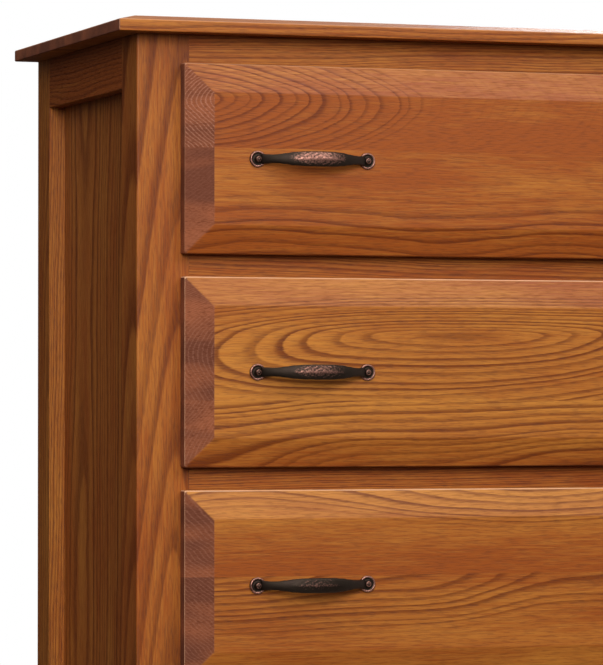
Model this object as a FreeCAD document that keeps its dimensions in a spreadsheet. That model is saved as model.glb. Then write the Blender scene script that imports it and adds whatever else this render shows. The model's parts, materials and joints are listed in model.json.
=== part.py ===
import FreeCAD, Part
import Sketcher
import os
import re

# A five-drawer oak chest of post-and-panel construction.
# Corner posts run to the floor as legs, rails are tenoned into them, and the side panels
# float in grooves.  Each drawer is a dovetailed box with an applied block front: a flat
# field with a wide bevel on all four sides, lapping over the posts and rails.
# Millimetres, +Z up.  X = 0 is the middle of the chest and the drawers open towards -Y.

SIZES = (
    # case
    ("case_width", 914, "over the outer faces of the corner posts"),
    ("case_depth", 406, "front face of the front posts to the back"),
    ("leg_height", 63.5, "clear height under the bottom rails"),
    ("post_width", 59.5, "corner post, across the front"),
    ("front_post_depth", 57, "front corner post, along the side"),
    ("back_post_depth", 51, "back corner post, along the side"),
    ("post_easing", 2, "rounding of the outer corner of a post"),
    # top board
    ("top_thickness", 19, "full thickness of the top board"),
    ("top_edge", 12.7, "upright part of the top board's edge"),
    ("top_bevel", 25.4, "width of the low bevel along the top board's edge"),
    ("top_overhang", 28.6, "top board beyond the posts, at the front and sides"),
    # rails
    ("rail_thickness", 22, "front rails"),
    ("rail_height", 44.5, "front rail between two drawers"),
    ("top_rail_height", 42, "front rail under the top board"),
    ("bottom_rail_height", 70, "front and side rails above the floor"),
    ("side_rail_thickness", 32, "side rails"),
    ("side_rail_height", 57, "side rail under the top board"),
    ("back_rail_thickness", 19, "rails behind the drawers"),
    ("back_rail_height", 57, "rails behind the drawers"),
    ("tenon_length", 20, "tenons of all rails"),
    ("tenon_thickness", 9.5, "tenons of all rails"),
    ("tenon_shoulder", 5, "rail above and below its tenon"),
    ("tenon_inset", 5, "outer face of a side rail to its tenon"),
    ("mortise_spare", 1, "glue room at the bottom of a mortise"),
    # panels
    ("panel_thickness", 6.35, "side panels, back panel and drawer bottoms"),
    ("panel_recess", 19, "outer face of the posts to the side panel"),
    ("groove_depth", 9, "grooves round a side panel"),
    ("panel_play", 0.5, "room left for a panel to swell, at each edge"),
    ("back_rabbet", 10, "lap of the back panel on the back posts"),
    ("back_recess", 2, "back of the posts to the back panel, for its screw heads"),
    # drawer guides
    ("guide_width", 30, "runners and kickers, under and over the drawer sides"),
    ("runner_gap", 0.3, "drawer side above its runner"),
    ("side_gap", 1.5, "drawer side beside the posts"),
    ("top_gap", 5, "drawer side below the rail above it"),
    ("closing_gap", 0.5, "block front in front of the posts, on its bumpers"),
    # drawers
    ("drawer_count", 5, "drawers"),
    ("opening_height", 189.5, "clear height between two front rails"),
    ("overlay", 10, "lap of a block front over the posts and rails"),
    ("front_thickness", 23.8, "block front, at its field"),
    ("front_edge", 16, "block front, at its outer edge"),
    ("front_bevel", 32, "width of the bevel round a block front"),
    ("back_gap", 4.65, "drawer box in front of the back rails"),
    ("box_thickness", 12.7, "boards of a drawer box"),
    ("box_groove", 6.35, "depth of the groove that holds a drawer bottom"),
    ("box_groove_height", 12, "lower edge of a drawer side to its groove"),
    ("tail_count", 5, "tails at each corner of a drawer box"),
    ("tail_neck", 21, "dovetail at its root"),
    ("tail_slope", 2, "flare on each side of a tail, over its length"),
    # pulls
    ("pull_inset", 145.5, "end of a block front to the middle of its pull"),
    ("pull_spacing", 128, "between the two screws of a pull"),
    ("pull_projection", 27, "block front's field to the outside of the grip"),
    ("foot_radius", 10, "round foot of a pull"),
    ("foot_thickness", 3, "round foot of a pull"),
    ("boss_radius", 3.5, "raised boss on a foot"),
    ("boss_height", 6.5, "top of the boss above the drawer front"),
    ("neck_width", 8, "bow beside its foot, upright"),
    ("grip_width", 16, "bow at its middle, upright"),
    ("bow_thickness", 5, "bow, front to back"),
)

doc = FreeCAD.newDocument("chest")
sizes = doc.addObject("Spreadsheet::Sheet", "sizes")
for row, (alias, value, note) in enumerate(SIZES, start=1):
    sizes.set(f"A{row}", alias)
    sizes.set(f"B{row}", str(value))
    sizes.set(f"C{row}", note)
    sizes.setAlias(f"B{row}", alias)
doc.recompute()

ALIASES = {alias for alias, value, note in SIZES}

# Sizes that follow from the ones above, as formulas in the sheet's words.
OPENING_WIDTH = "(case_width - 2 * post_width)"
PITCH = "(opening_height + rail_height)"
FIRST_OPENING = "(leg_height + bottom_rail_height)"
POST_HEIGHT = f"({FIRST_OPENING} + drawer_count * {PITCH} - rail_height + top_rail_height)"
# The front faces of the posts lie here, which puts Y = 0 midway from the grips to the back.
FACE = "((closing_gap + front_thickness + pull_projection - case_depth) / 2)"
LEFT = "(-case_width / 2)"
MORTISE_DEPTH = "(tenon_length + mortise_spare)"
RAIL_TENON_Y = "((rail_thickness - tenon_thickness) / 2)"
BACK_TENON_Y = "((back_rail_thickness - tenon_thickness) / 2)"
BACK_PANEL_Y = "(case_depth - back_recess - panel_thickness)"
BACK_RAIL_Y = f"({BACK_PANEL_Y} - back_rail_thickness)"
SIDE_SPAN = "(case_depth - front_post_depth - back_post_depth)"
BOX_DEPTH = f"({BACK_RAIL_Y} - back_gap + closing_gap)"
BOX_WIDTH = f"({OPENING_WIDTH} - 2 * side_gap)"
BOX_HEIGHT = "(opening_height - runner_gap - top_gap)"
TAIL_PITCH = f"({BOX_HEIGHT} / tail_count)"
FRONT_WIDTH = f"({OPENING_WIDTH} + 2 * overlay)"
FRONT_HEIGHT = "(opening_height + 2 * overlay)"


def ref(formula):
    """A formula in the sheet's words, as an expression that reads the sheet."""
    word = r"[a-z]+(?:_[a-z]+)*"
    return re.sub(word, lambda m: f"sizes.{m[0]}" if m[0] in ALIASES else m[0], str(formula))


def bind(thing, prop, formula):
    thing.setExpression(prop, ref(formula))


def place(thing, x, y, z):
    for axis, formula in zip("xyz", (x, y, z)):
        bind(thing, f"Placement.Base.{axis}", formula)
    return thing


def new_body(label):
    body = doc.addObject("PartDesign::Body", label)
    body.Label = label
    return body


def new_sketch(body, plane, start):
    """Sketch on one of the body's own origin planes, moved along +X, +Y or +Z by start."""
    sketch = body.newObject("Sketcher::SketchObject", f"{body.Name}_sketch")
    role = f"{plane}_Plane"
    support = [f for f in body.Origin.OriginFeatures if f.Role == role][0]
    sketch.AttachmentSupport = (support, [""])
    sketch.MapMode = "FlatFace"
    # The XZ plane faces -Y, so a step towards +Y is a negative offset there.
    bind(sketch, "AttachmentOffset.Base.z", f"-({start})" if plane == "XZ" else start)
    return sketch


def fix_number(sketch, kind, what, now, formula):
    """Dimension of a sketch, bound to a formula; now is what it measures as drawn."""
    number = sketch.addConstraint(Sketcher.Constraint(kind, *what, now))
    bind(sketch, f"Constraints[{number}]", formula)


def fix_point(sketch, geometry, corner, x, y=None):
    """Hold one point of a sketch at (x, y) from the sketch's origin, or only at x."""
    now = sketch.getPoint(geometry, corner)
    fix_number(sketch, "DistanceX", (-1, 1, geometry, corner), now.x, x)
    if y is not None:
        fix_number(sketch, "DistanceY", (-1, 1, geometry, corner), now.y, y)


def draw_polygon(sketch, corners):
    """Closed outline of straight lines through corners, each an (x, y) pair of formulas."""
    first = sketch.GeometryCount
    count = len(corners)
    for number in range(count):
        start = FreeCAD.Vector(number, number % 2, 0)
        end = FreeCAD.Vector(number + 1, (number + 1) % 2, 0)
        sketch.addGeometry(Part.LineSegment(start, end), False)
    for number, (x, y) in enumerate(corners):
        following = first + (number + 1) % count
        sketch.addConstraint(Sketcher.Constraint("Coincident", first + number, 2, following, 1))
        fix_point(sketch, first + number, 1, x, y)


def rectangle(x, y, width, height):
    right = f"({x}) + ({width})"
    upper = f"({y}) + ({height})"
    return [(x, y), (right, y), (right, upper), (x, upper)]


def extrude(body, kind, plane, start, depth, polygons):
    """Pad or pocket that runs from start, along the plane's +X, +Y or +Z, by depth."""
    sketch = new_sketch(body, plane, start)
    for corners in polygons:
        draw_polygon(sketch, corners)
    # A pad grows along the sketch's normal and a pocket cuts against it.
    return extrude_sketch(body, kind, sketch, depth, (kind == "Pad") == (plane == "XZ"))


def extrude_sketch(body, kind, sketch, depth, reverse):
    feature = body.newObject(f"PartDesign::{kind}", f"{body.Name}_{kind.lower()}")
    feature.Profile = sketch
    bind(feature, "Length", depth)
    feature.Reversed = reverse
    return feature


def find_edges(shape, wanted):
    """Names of the edges whose bounding box passes a test."""
    return [f"Edge{number}" for number, edge in enumerate(shape.Edges, start=1)
            if wanted(edge.BoundBox)]


def bevel(body, wanted, across, down):
    """Low bevel along some edges: across is its width on the face, down is its fall."""
    doc.recompute()
    base = body.Tip
    feature = body.newObject("PartDesign::Chamfer", f"{body.Name}_bevel")
    feature.Base = (base, find_edges(base.Shape, wanted))
    feature.ChamferType = "Two distances"
    feature.FlipDirection = True
    bind(feature, "Size", across)
    bind(feature, "Size2", down)
    return feature


def mirror_image(source, label):
    """The right-hand twin of a piece, across the middle of the chest."""
    twin = doc.addObject("Part::Mirroring", label)
    twin.Label = label
    twin.Source = source
    twin.Normal = FreeCAD.Vector(1, 0, 0)
    return twin


def new_board(label, x, y, z, length, width, height):
    """Plain square board, from its lowest corner."""
    board = doc.addObject("Part::Box", label)
    board.Label = label
    bind(board, "Length", length)
    bind(board, "Width", width)
    bind(board, "Height", height)
    return place(board, x, y, z)


def new_group(label, members):
    group = doc.addObject("Part::Compound", label)
    group.Label = label
    group.Links = members
    return group


def new_top_board():
    """Solid board with a low bevel round the front and both ends; the back edge is square."""
    body = new_body("top_board")
    width = "case_width + 2 * top_overhang"
    depth = "case_depth + top_overhang"
    outline = rectangle(0, 0, width, depth)
    extrude(body, "Pad", "XY", 0, "top_thickness", [outline])
    high = sizes.top_thickness
    back = sizes.case_depth + sizes.top_overhang
    bevel(body, lambda box: box.ZMin > high - 0.01 and box.YMin < back - 0.01,
          "top_bevel", "top_thickness - top_edge")
    return place(body, f"{LEFT} - top_overhang", f"{FACE} - top_overhang", POST_HEIGHT)


def rail_levels():
    """Lower edge and height of each front rail, from the floor up."""
    levels = [("leg_height", "bottom_rail_height")]
    for number in range(1, int(sizes.drawer_count)):
        levels.append((f"{FIRST_OPENING} + {number} * {PITCH} - rail_height", "rail_height"))
    levels.append((f"{POST_HEIGHT} - top_rail_height", "top_rail_height"))
    return levels


def ease_outer_corner(body, corner_y):
    """Round the post's outer upright edge, which is what hands and legs brush against."""
    doc.recompute()
    base = body.Tip
    easing = body.newObject("PartDesign::Fillet", f"{body.Name}_easing")
    easing.Base = (base, find_edges(base.Shape, lambda box: box.XMax < 0.01 and box.YLength < 0.01
                                    and abs(box.YMin - corner_y) < 0.01))
    bind(easing, "Radius", "post_easing")


def cut_side_joints(body, mortise_y, groove_y):
    """Mortises for the two side rails and the groove for the panel between them."""
    low = ("leg_height", "bottom_rail_height")
    high = (f"{POST_HEIGHT} - side_rail_height", "side_rail_height")
    mortises = [rectangle("tenon_inset", f"{z} + tenon_shoulder", "tenon_thickness",
                          f"{height} - 2 * tenon_shoulder") for z, height in (low, high)]
    extrude(body, "Pocket", "XZ", mortise_y, MORTISE_DEPTH, mortises)
    groove = rectangle("panel_recess", f"{FIRST_OPENING} - groove_depth", "panel_thickness",
                       f"{POST_HEIGHT} - side_rail_height - {FIRST_OPENING} + 2 * groove_depth")
    extrude(body, "Pocket", "XZ", groove_y, "groove_depth", [groove])


def new_front_post(label):
    """Left front post, mortised for every front rail and for the side frame."""
    body = new_body(label)
    extrude(body, "Pad", "XY", 0, POST_HEIGHT, [rectangle(0, 0, "post_width", "front_post_depth")])
    mortises = [rectangle(RAIL_TENON_Y, f"{z} + tenon_shoulder", "tenon_thickness",
                          f"{height} - 2 * tenon_shoulder") for z, height in rail_levels()]
    extrude(body, "Pocket", "YZ", f"post_width - {MORTISE_DEPTH}", MORTISE_DEPTH, mortises)
    cut_side_joints(body, f"front_post_depth - {MORTISE_DEPTH}", "front_post_depth - groove_depth")
    ease_outer_corner(body, 0)
    return place(body, LEFT, FACE, 0)


def back_rail_levels():
    """Lower edges of the two rails behind the drawers."""
    return ["leg_height", f"{POST_HEIGHT} - back_rail_height"]


def new_back_post(label):
    """Left back post, mortised for the side frame and rabbeted for the back panel."""
    body = new_body(label)
    start = "(case_depth - back_post_depth)"
    extrude(body, "Pad", "XY", 0, POST_HEIGHT, [rectangle(0, 0, "post_width", "back_post_depth")])
    tenon_y = f"{BACK_RAIL_Y} - {start} + {BACK_TENON_Y}"
    mortises = [rectangle(tenon_y, f"{z} + tenon_shoulder", "tenon_thickness",
                          "back_rail_height - 2 * tenon_shoulder") for z in back_rail_levels()]
    extrude(body, "Pocket", "YZ", f"post_width - {MORTISE_DEPTH}", MORTISE_DEPTH, mortises)
    rabbet = rectangle("post_width - back_rabbet", f"{BACK_PANEL_Y} - {start}",
                       "back_rabbet", "panel_thickness + back_recess")
    extrude(body, "Pocket", "XY", "leg_height", f"{POST_HEIGHT} - leg_height", [rabbet])
    cut_side_joints(body, 0, 0)
    ease_outer_corner(body, sizes.back_post_depth)
    return place(body, LEFT, f"{FACE} + {start}", 0)


def new_cross_rail(label, y, z, thickness, height, tenon_y):
    """Rail from post to post across the chest, with a tenon on each end."""
    body = new_body(label)
    extrude(body, "Pad", "YZ", 0, OPENING_WIDTH, [rectangle(0, 0, thickness, height)])
    tenon = rectangle(tenon_y, "tenon_shoulder", "tenon_thickness",
                      f"{height} - 2 * tenon_shoulder")
    extrude(body, "Pad", "YZ", "-tenon_length", f"{OPENING_WIDTH} + 2 * tenon_length", [tenon])
    return place(body, f"{LEFT} + post_width", f"{FACE} + {y}", z)


def new_front_rails():
    levels = rail_levels()
    names = ["front_bottom_rail"]
    names += [f"front_rail_{number}" for number in range(len(levels) - 2, 0, -1)]
    names += ["front_top_rail"]
    return [new_cross_rail(name, 0, z, "rail_thickness", height, RAIL_TENON_Y)
            for name, (z, height) in zip(names, levels)]


def new_back_rails():
    names = ("back_bottom_rail", "back_top_rail")
    return [new_cross_rail(name, BACK_RAIL_Y, z, "back_rail_thickness", "back_rail_height",
                           BACK_TENON_Y) for name, z in zip(names, back_rail_levels())]


def new_side_rail(label, z, height, groove_z):
    """Left side rail, flush with the posts outside, grooved for the panel's edge."""
    body = new_body(label)
    extrude(body, "Pad", "XZ", 0, SIDE_SPAN, [rectangle(0, 0, "side_rail_thickness", height)])
    tenon = rectangle("tenon_inset", "tenon_shoulder", "tenon_thickness",
                      f"{height} - 2 * tenon_shoulder")
    extrude(body, "Pad", "XZ", "-tenon_length", f"{SIDE_SPAN} + 2 * tenon_length", [tenon])
    groove = rectangle("panel_recess", groove_z, "panel_thickness", "groove_depth")
    extrude(body, "Pocket", "XZ", 0, SIDE_SPAN, [groove])
    return place(body, LEFT, f"{FACE} + front_post_depth", z)


def new_side_panel(label):
    """Thin panel that floats in its grooves, with a little play at each edge."""
    reach = "(groove_depth - panel_play)"
    return new_board(label, f"{LEFT} + panel_recess", f"{FACE} + front_post_depth - {reach}",
                     f"{FIRST_OPENING} - {reach}", "panel_thickness",
                     f"{SIDE_SPAN} + 2 * {reach}",
                     f"{POST_HEIGHT} - side_rail_height - {FIRST_OPENING} + 2 * {reach}")


def new_back_panel():
    return new_board("back_panel", f"{LEFT} + post_width - back_rabbet + panel_play",
                     f"{FACE} + {BACK_PANEL_Y}", "leg_height",
                     f"{OPENING_WIDTH} + 2 * (back_rabbet - panel_play)", "panel_thickness",
                     f"{POST_HEIGHT} - leg_height")


def new_guide(label, z, depth):
    """Strip from a front rail to the back, screwed to the inner faces of the left posts."""
    return new_board(label, f"{LEFT} + post_width", f"{FACE} + rail_thickness", z,
                     "guide_width", f"{BACK_RAIL_Y} - rail_thickness", depth)


def new_runners(label):
    """Left runners, each level with the front rail that a drawer slides over.

    The underside of a runner also keeps the drawer below it from tipping.
    """
    runners = [new_guide(f"{label}_{number}", f"{z} + {height} - rail_height", "rail_height")
               for number, (z, height) in enumerate(rail_levels()[:-1], start=1)]
    return new_group(label, runners)


def new_kicker(label):
    """Left strip over the top drawer, which also carries the screws of the top board."""
    return new_guide(label, f"{POST_HEIGHT} - top_rail_height", "top_rail_height")


def new_block_front(label, z):
    """Applied drawer front: a flat field standing proud of a wide bevel on four sides."""
    body = new_body(label)
    outline = rectangle(0, 0, FRONT_WIDTH, FRONT_HEIGHT)
    extrude(body, "Pad", "XZ", "-front_thickness", "front_thickness", [outline])
    field = -sizes.front_thickness
    bevel(body, lambda box: box.YMax < field + 0.01, "front_bevel", "front_thickness - front_edge")
    return place(body, f"{LEFT} + post_width - overlay", f"{FACE} - closing_gap",
                 f"{z} - overlay")


def tail_outline(neck_y, end_y, shrink, middle):
    """One dovetail seen from the side: narrow at its neck and flared at its end."""
    neck = "tail_neck / 2"
    end = "(tail_neck / 2 + tail_slope)"
    if shrink:
        neck = f"({TAIL_PITCH} / 2 - tail_neck / 2)"
        end = f"({TAIL_PITCH} / 2 - tail_neck / 2 - tail_slope)"
    return [(neck_y, f"{middle} - {neck}"), (end_y, f"{middle} - {end}"),
            (end_y, f"{middle} + {end}"), (neck_y, f"{middle} + {neck}")]


def repeat_up(body, cutting, spacing, count):
    """Repeat a cut up the drawer box, at the spacing of its dovetails."""
    doc.recompute()
    pattern = body.newObject("PartDesign::LinearPattern", f"{body.Name}_pattern")
    pattern.Originals = [cutting]
    pattern.Direction = (cutting.Profile[0], ["V_Axis"])
    bind(pattern, "Length", f"({count} - 1) * {spacing}")
    bind(pattern, "Occurrences", count)
    body.Tip = pattern


def new_box_side(label, z):
    """Left side of a drawer box: tails on both ends, and a stopped groove for the bottom."""
    body = new_body(label)
    extrude(body, "Pad", "YZ", 0, "box_thickness", [rectangle(0, 0, BOX_DEPTH, BOX_HEIGHT)])
    # Between two tails goes a pin; the lowest and highest pins are halved by the edges.
    gaps = [tail_outline("box_thickness", 0, True, 0),
            tail_outline(f"{BOX_DEPTH} - box_thickness", BOX_DEPTH, True, 0)]
    pins = extrude(body, "Pocket", "YZ", 0, "box_thickness", gaps)
    repeat_up(body, pins, TAIL_PITCH, "tail_count + 1")
    reach = "(box_thickness - box_groove)"
    groove = rectangle(reach, "box_groove_height", f"{BOX_DEPTH} - 2 * {reach}",
                       "panel_thickness")
    extrude(body, "Pocket", "YZ", reach, "box_groove", [groove])
    return place(body, f"{LEFT} + post_width + side_gap", f"{FACE} - closing_gap",
                 f"{z} + runner_gap")


def new_box_end(label, z, y, neck_y, end_y, groove_y):
    """Front or back of a drawer box: pins on both ends, between the sides' tails."""
    body = new_body(label)
    extrude(body, "Pad", "XZ", 0, "box_thickness", [rectangle(0, 0, BOX_WIDTH, BOX_HEIGHT)])
    tail = [tail_outline(neck_y, end_y, False, f"{TAIL_PITCH} / 2")]
    for start in ("0", f"{BOX_WIDTH} - box_thickness"):
        tails = extrude(body, "Pocket", "YZ", start, "box_thickness", tail)
        repeat_up(body, tails, TAIL_PITCH, "tail_count")
    reach = "(box_thickness - box_groove)"
    groove = rectangle(reach, "box_groove_height", f"{BOX_WIDTH} - 2 * {reach}", "panel_thickness")
    extrude(body, "Pocket", "XZ", groove_y, "box_groove", [groove])
    return place(body, f"{LEFT} + post_width + side_gap", f"{FACE} - closing_gap + {y}",
                 f"{z} + runner_gap")


def new_box_bottom(label, z):
    """Drawer bottom, held in grooves on all four sides."""
    reach = "(box_thickness - box_groove + panel_play)"
    return new_board(label, f"{LEFT} + post_width + side_gap + {reach}",
                     f"{FACE} - closing_gap + {reach}", f"{z} + runner_gap + box_groove_height",
                     f"{BOX_WIDTH} - 2 * {reach}", f"{BOX_DEPTH} - 2 * {reach}",
                     "panel_thickness")


def draw_bow(sketch, low_end, high_end, low_crown, high_crown, high_bulge, first_rise):
    """Outline of two arcs from foot to foot, closed by a short straight line at each end.

    Each arc passes through its crown at the middle.  The lower arc bulges down, and the
    upper one up or down, as high_bulge is 1 or -1.  The solver starts from arcs that
    rise by first_rise.
    """
    end_x = "(pull_spacing / 2 - foot_radius / 2)"
    reach = sizes.pull_spacing / 2
    arcs = []
    for end_y, crown_y, bulge in ((low_end, low_crown, -1), (high_end, high_crown, high_bulge)):
        # A sketched arc runs anticlockwise, so one that bulges up starts at its right end.
        start = FreeCAD.Vector(reach * bulge, 0, 0)
        crown = FreeCAD.Vector(0, first_rise * bulge, 0)
        arc = sketch.addGeometry(Part.Arc(start, crown, -start), False)
        left, right = (2, 1) if bulge > 0 else (1, 2)
        rise = f"({bulge} * (({crown_y}) - ({end_y})))"
        radius = f"(({end_x}^2 + {rise}^2) / (2 * {rise}))"
        fix_point(sketch, arc, 3, 0, f"({crown_y}) - {bulge} * {radius}")
        fix_number(sketch, "Radius", (arc,), sketch.Geometry[arc].Radius, radius)
        fix_point(sketch, arc, left, f"-{end_x}")
        fix_point(sketch, arc, right, end_x)
        arcs.append((arc, left, right))
    (low, low_left, low_right), (high, high_left, high_right) = arcs
    for low_corner, high_corner in ((low_left, high_left), (low_right, high_right)):
        line = sketch.addGeometry(Part.LineSegment(FreeCAD.Vector(0, 0, 0),
                                                   FreeCAD.Vector(0, 1, 0)), False)
        sketch.addConstraint(Sketcher.Constraint("Coincident", line, 1, low, low_corner))
        sketch.addConstraint(Sketcher.Constraint("Coincident", line, 2, high, high_corner))


def new_bow(label):
    """The pull's bow: a curved strap seen from above, cut to a lens seen from the front."""
    lens = new_body(f"{label}_lens")
    seen_from_front = new_sketch(lens, "XZ", "-pull_projection")
    draw_bow(seen_from_front, "-neck_width / 2", "neck_width / 2", "-grip_width / 2",
             "grip_width / 2", 1, sizes.grip_width / 4)
    extrude_sketch(lens, "Pad", seen_from_front, "pull_projection", True)
    bow = new_body(f"{label}_bow")
    seen_from_above = new_sketch(bow, "XY", "-grip_width / 2")
    inner = "(-foot_thickness / 3)"
    draw_bow(seen_from_above, f"{inner} - bow_thickness", inner, "-pull_projection",
             "bow_thickness - pull_projection", -1, sizes.pull_projection * 0.8)
    extrude_sketch(bow, "Pad", seen_from_above, "grip_width", False)
    doc.recompute()
    shaped = bow.newObject("PartDesign::Boolean", f"{label}_shaped")
    shaped.Type = "Common"
    shaped.Group = [lens]
    bow.Tip = shaped
    return bow


def new_foot(label):
    """Round flat foot with a raised boss in its middle, turned in one profile."""
    body = new_body(label)
    sketch = new_sketch(body, "XY", 0)
    draw_polygon(sketch, [(0, 0), ("-foot_radius", 0), ("-foot_radius", "-foot_thickness"),
                          ("-boss_radius", "-foot_thickness"), ("-boss_radius", "-boss_height"),
                          (0, "-boss_height")])
    turned = body.newObject("PartDesign::Revolution", f"{label}_turned")
    turned.Profile = sketch
    turned.ReferenceAxis = (sketch, ["V_Axis"])
    return body


def new_pull(label, z):
    """Cast bow pull: two round feet with bosses, and a bow that swells to its grip."""
    feet = []
    for side in (-1, 1):
        foot = new_foot(f"{label}_foot_{len(feet) + 1}")
        feet.append(place(foot, f"{side} * pull_spacing / 2", 0, 0))
    pull = doc.addObject("Part::MultiFuse", label)
    pull.Label = label
    pull.Shapes = [new_bow(label), *feet]
    return place(pull, f"{LEFT} + post_width - overlay + pull_inset",
                 f"{FACE} - closing_gap - front_thickness", f"{z} - overlay + {FRONT_HEIGHT} / 2")


def new_drawer(number):
    """All pieces of one drawer; number 1 is the top drawer."""
    z = f"{FIRST_OPENING} + (drawer_count - {number}) * {PITCH}"
    name = f"drawer_{number}"
    side = new_box_side(f"{name}_side_left", z)
    pull = new_pull(f"{name}_pull", z)
    back_y = f"({BOX_DEPTH} - box_thickness)"
    return [
        new_block_front(f"{name}_front", z),
        new_box_end(f"{name}_box_front", z, 0, "box_thickness", 0, "box_thickness - box_groove"),
        side,
        mirror_image(side, f"{name}_side_right"),
        new_box_end(f"{name}_back", z, back_y, 0, "box_thickness", 0),
        new_box_bottom(f"{name}_bottom", z),
        new_group(f"{name}_pulls", [pull, mirror_image(pull, f"{name}_pull_twin")]),
    ]


def new_case():
    """Everything that stays still: posts, frames, panels, top and drawer guides."""
    lefts = [
        new_front_post("post_front_left"),
        new_back_post("post_back_left"),
        new_side_rail("side_top_rail_left", f"{POST_HEIGHT} - side_rail_height",
                      "side_rail_height", 0),
        new_side_rail("side_bottom_rail_left", "leg_height", "bottom_rail_height",
                      "bottom_rail_height - groove_depth"),
        new_side_panel("side_panel_left"),
        new_runners("runners_left"),
        new_kicker("kicker_left"),
    ]
    rights = [mirror_image(piece, piece.Label.replace("left", "right")) for piece in lefts]
    return [new_top_board(), new_back_panel(), *lefts, *rights,
            *new_front_rails(), *new_back_rails()]


def check(pieces):
    """Stop if any feature failed or any piece isn't made of valid solids."""
    for thing in doc.Objects:
        if {"Invalid", "Error"} & set(thing.State):
            raise RuntimeError(f"{thing.Label}: {thing.State}")
    for piece in pieces:
        if piece.Shape.isNull() or not piece.Shape.isValid() or not piece.Shape.Solids:
            raise RuntimeError(f"{piece.Label}: no valid solid")


pieces = new_case()
for number in range(1, int(sizes.drawer_count) + 1):
    pieces += new_drawer(number)
doc.recompute()
check(pieces)

os.makedirs("parts", exist_ok=True)
for piece in pieces:
    piece.Shape.exportStep(f"parts/{piece.Label}.step")
    print(f"{piece.Label:24s} {len(piece.Shape.Solids)} solids {piece.Shape.Volume / 1000:9.1f} cm3")
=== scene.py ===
# %% [markdown]
# # An oak chest of drawers
#
# A tall chest in stained red oak: posts, rails and floating panels make the case, and five
# dovetailed drawers carry bevelled block fronts with cast bow pulls.  The joinery is already
# modelled as solid pieces.  This lesson gives each board its own oak figure, softens every
# sharp edge, casts the pulls, adds the screws and bumpers, and lights the result.

# %% Load the chest
import json
import math
import random
from dataclasses import asdict, dataclass, fields, replace

import bmesh
import bpy
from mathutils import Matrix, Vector


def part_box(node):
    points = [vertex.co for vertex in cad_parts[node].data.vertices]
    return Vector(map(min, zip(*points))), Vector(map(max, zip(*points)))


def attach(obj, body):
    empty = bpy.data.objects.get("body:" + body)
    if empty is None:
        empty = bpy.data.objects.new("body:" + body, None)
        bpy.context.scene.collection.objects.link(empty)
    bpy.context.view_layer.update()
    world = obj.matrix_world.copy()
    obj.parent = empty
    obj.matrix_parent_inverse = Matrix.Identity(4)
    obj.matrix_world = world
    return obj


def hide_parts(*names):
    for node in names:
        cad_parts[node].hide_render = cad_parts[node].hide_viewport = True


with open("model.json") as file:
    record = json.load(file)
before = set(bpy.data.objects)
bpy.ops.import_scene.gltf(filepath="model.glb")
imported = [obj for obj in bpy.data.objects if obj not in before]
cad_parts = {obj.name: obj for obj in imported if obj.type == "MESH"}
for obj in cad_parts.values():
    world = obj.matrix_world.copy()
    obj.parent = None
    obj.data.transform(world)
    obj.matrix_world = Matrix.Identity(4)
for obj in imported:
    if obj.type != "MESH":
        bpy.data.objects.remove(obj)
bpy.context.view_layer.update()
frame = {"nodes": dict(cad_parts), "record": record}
nodes = frame["nodes"]
MM = 0.001

# %% [markdown]
# ## Camera
#
# A long lens seen from the front left, at sitting height, so that the upright lines of the
# case stay upright.  Setting the eye and the point it looks at is easier to read than angles,
# so one helper puts anything new in the scene and can turn it towards a point, as lamps need.


# %% Camera
def put(name, data, place=(0, 0, 0), look_at=None):
    """New object at a place; a camera or a lamp is also turned towards a point."""
    thing = bpy.data.objects.new(name, data)
    thing.location = place
    if look_at is not None:
        sight = Vector(look_at) - Vector(place)
        thing.rotation_euler = sight.to_track_quat("-Z", "Y").to_euler()
    bpy.context.collection.objects.link(thing)
    return thing


EYE = (-1.743, -4.429, 0.897)
LOOK_AT = (-0.275, -0.202, 0.974)
camera_data = bpy.data.cameras.new("camera")
camera_data.lens = 220
bpy.context.scene.camera = put("camera", camera_data, EYE, LOOK_AT)
print("camera", round(math.dist(EYE, LOOK_AT), 2), "m from the fronts")

# %% [markdown]
# ## Colours and nodes
#
# Colours are written as they look on a screen, in hex, and the renderer counts in linear
# light, so one function turns the first into the second.  Materials are graphs of nodes, so
# another function adds a node, with its settings and whatever feeds it, in one line.  The
# part of it that feeds a node also serves nodes that are already there, such as a shader.


# %% Helpers for colours and nodes
def linear(hex_colour):
    """Screen colour such as "#A8622E" as linear red, green, blue and alpha."""
    channels = [int(hex_colour[i:i + 2], 16) / 255 for i in (1, 3, 5)]
    return (*[c / 12.92 if c <= 0.04045 else ((c + 0.055) / 1.055) ** 2.4 for c in channels], 1)


def feed(tree, node, feeds):
    """Set a node's inputs to values, or link them to the outputs of other nodes."""
    for name, value in feeds.items():
        if isinstance(value, bpy.types.NodeSocket):
            tree.links.new(value, node.inputs[name])
        else:
            node.inputs[name].default_value = value


def add(tree, kind, feeds=None, stops=(), **settings):
    """New node of a kind, fed and set; gives its outputs.  Stops belong to a ramp node."""
    node = tree.nodes.new("ShaderNode" + kind)
    for name, value in settings.items():
        setattr(node, name, value)
    feed(tree, node, feeds or {})
    for number, (place, value) in enumerate(stops):
        ramp = node.color_ramp.elements
        stop = ramp[number] if number < 2 else ramp.new(place)
        stop.position = place
        stop.color = (value, value, value, 1)
    return node.outputs


# A Mix node keeps its numbers and its colours in different sockets.
FACTOR, VALUE_A, VALUE_B, COLOUR_A, COLOUR_B, MIXED = 0, 2, 3, 6, 7, 2
print("brown", [round(c, 3) for c in linear("#A8622E")])

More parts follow.
